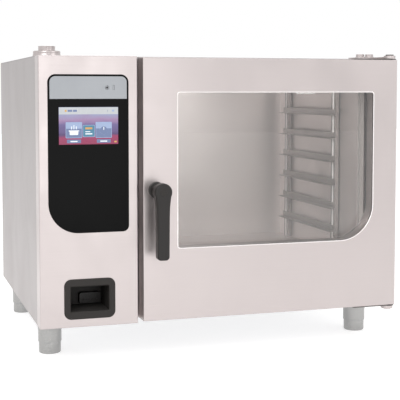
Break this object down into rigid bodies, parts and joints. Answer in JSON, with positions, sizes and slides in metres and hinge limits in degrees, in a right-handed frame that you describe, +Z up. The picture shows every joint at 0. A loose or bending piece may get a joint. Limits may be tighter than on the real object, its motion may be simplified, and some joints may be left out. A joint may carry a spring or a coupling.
{
  "type": "combi steamer oven",
  "caption": "Table combi steamer oven: steel casing on round feet, control column with hand shower, glazed door with lever handle, chamber with racks, fan and heater.",
  "frame": {"origin": "on the ground, in the middle of the oven's bounding box", "axes": "+X to the right as a person facing the door sees it, +Y to the back, +Z up"},
  "size_m": [0.997, 0.909, 0.84],
  "materials": {
    "casing_steel": "fine brushed stainless",
    "chamber_steel": "satin stainless",
    "foot_steel": "turned stainless",
    "dark_steel": "dark oxide",
    "zinc_steel": "zinc plated",
    "black_glass": "gloss black",
    "display": "lit display under gloss glass",
    "silver_trim": "satin silver",
    "black_plastic": "fine moulded texture",
    "grey_plastic": "fine moulded texture",
    "rubber": "matte",
    "circuit_board": "lacquered board",
    "mineral_wool": "fibrous",
    "brass": "machined",
    "clear_glass": "clear float glass"
  },
  "bodies": {
    "cabinet": {"base_frame": "zinc_steel", "left_side_panel": "casing_steel", "right_side_panel": "casing_steel", "rear_panel": "casing_steel", "top_cover": "casing_steel", "front_frame": "casing_steel", "vent_base": "casing_steel", "vent_pipe": "casing_steel", "door_gasket": "rubber", "door_catch": "casing_steel", "hinge_top_bracket": "casing_steel", "hinge_top_pin": "dark_steel", "hinge_bottom_bracket": "casing_steel", "control_fascia": "casing_steel", "control_panel": "black_glass", "header_strip": "silver_trim", "touch_display": "display", "status_light": "silver_trim", "control_board": "circuit_board", "shower_recess": "grey_plastic", "reel_bracket": "zinc_steel", "chamber_liner": "chamber_steel", "insulation": "mineral_wool", "fan_baffle": "chamber_steel", "fan_motor": "zinc_steel", "ring_heater": "dark_steel", "injection_valve": "brass", "drain_strainer": "chamber_steel", "drain_pipe": "grey_plastic", "water_inlet_soft": "brass", "water_inlet_hard": "brass", "cable_gland": "black_plastic", "power_board": "zinc_steel", "cooling_fan_frame": "black_plastic"},
    "door": {"door_outer_shell": "casing_steel", "door_inner_panel": "casing_steel", "door_glass_outer": "clear_glass", "door_glass_inner": "clear_glass", "latch_housing": "zinc_steel", "door_drip_channel": "casing_steel", "hinge_top_leaf": "dark_steel", "hinge_bottom_leaf": "dark_steel", "handle_rosette": "black_plastic"},
    "handle": {"door_handle": "black_plastic", "handle_cap": "grey_plastic", "handle_spindle": "zinc_steel"},
    "shower": {"shower_head": "black_plastic", "shower_hose": "rubber"},
    "trigger": {"shower_trigger": "grey_plastic"},
    "reel": {"hose_reel": "black_plastic"},
    "power_key": {"power_button": "black_glass"},
    "fan": {"fan_wheel": "chamber_steel", "fan_shaft": "zinc_steel"},
    "cooler": {"cooling_fan_blades": "black_plastic"},
    "left_rack": {"rack_left": "chamber_steel"},
    "right_rack": {"rack_right": "chamber_steel"},
    "front_left_foot": {"foot_front_left": "foot_steel"},
    "front_right_foot": {"foot_front_right": "foot_steel"},
    "rear_left_foot": {"foot_rear_left": "foot_steel"},
    "rear_right_foot": {"foot_rear_right": "foot_steel"}
  },
  "joints": [
    {"name": "door_swing", "type": "hinge", "parent": "cabinet", "child": "door", "pos_m": [0.4825, -0.3625, 0.444], "axis": [0, 0, 1], "range_deg": [0, 135]},
    {"name": "handle_turn", "type": "hinge", "parent": "door", "child": "handle", "pos_m": [-0.1945, -0.4185, 0.444], "axis": [0, 1, 0], "range_deg": [-60, 60]},
    {"name": "shower_pull", "type": "slide", "parent": "cabinet", "child": "shower", "axis": [0, -1, 0], "range_m": [0, 0.11], "stiffness_N_per_m": 15, "springref_m": -0.2},
    {"name": "trigger_press", "type": "slide", "parent": "shower", "child": "trigger", "axis": [0, 0, -1], "range_m": [0, 0.0015], "stiffness_N_per_m": 400, "springref_m": -0.001},
    {"name": "reel_turn", "type": "hinge", "parent": "cabinet", "child": "reel", "pos_m": [-0.354, -0.0845, 0.222], "axis": [-1, 0, 0], "range_deg": [0, 120]},
    {"name": "power_press", "type": "slide", "parent": "cabinet", "child": "power_key", "axis": [0, 1, 0], "range_m": [0, 0.0015], "stiffness_N_per_m": 400, "springref_m": -0.001},
    {"name": "fan_spin", "type": "hinge", "parent": "cabinet", "child": "fan", "pos_m": [-0.2235, -0.0285, 0.476], "axis": [1, 0, 0], "continuous": true},
    {"name": "cooler_spin", "type": "hinge", "parent": "cabinet", "child": "cooler", "pos_m": [-0.3885, 0.407, 0.498], "axis": [0, 1, 0], "continuous": true},
    {"name": "left_rack_lift", "type": "slide", "parent": "cabinet", "child": "left_rack", "axis": [0, 0, 1], "range_m": [0, 0.012]},
    {"name": "right_rack_lift", "type": "slide", "parent": "cabinet", "child": "right_rack", "axis": [0, 0, 1], "range_m": [0, 0.012]},
    {"name": "front_left_foot_screw", "type": "slide", "parent": "cabinet", "child": "front_left_foot", "axis": [0, 0, -1], "range_m": [0, 0.02]},
    {"name": "front_right_foot_screw", "type": "slide", "parent": "cabinet", "child": "front_right_foot", "axis": [0, 0, -1], "range_m": [0, 0.02]},
    {"name": "rear_left_foot_screw", "type": "slide", "parent": "cabinet", "child": "rear_left_foot", "axis": [0, 0, -1], "range_m": [0, 0.02]},
    {"name": "rear_right_foot_screw", "type": "slide", "parent": "cabinet", "child": "rear_right_foot", "axis": [0, 0, -1], "range_m": [0, 0.02]}
  ],
  "couplings": [
    {"joint": "reel_turn", "follows": "shower_pull", "rad_per_m": 16.667}
  ]
}
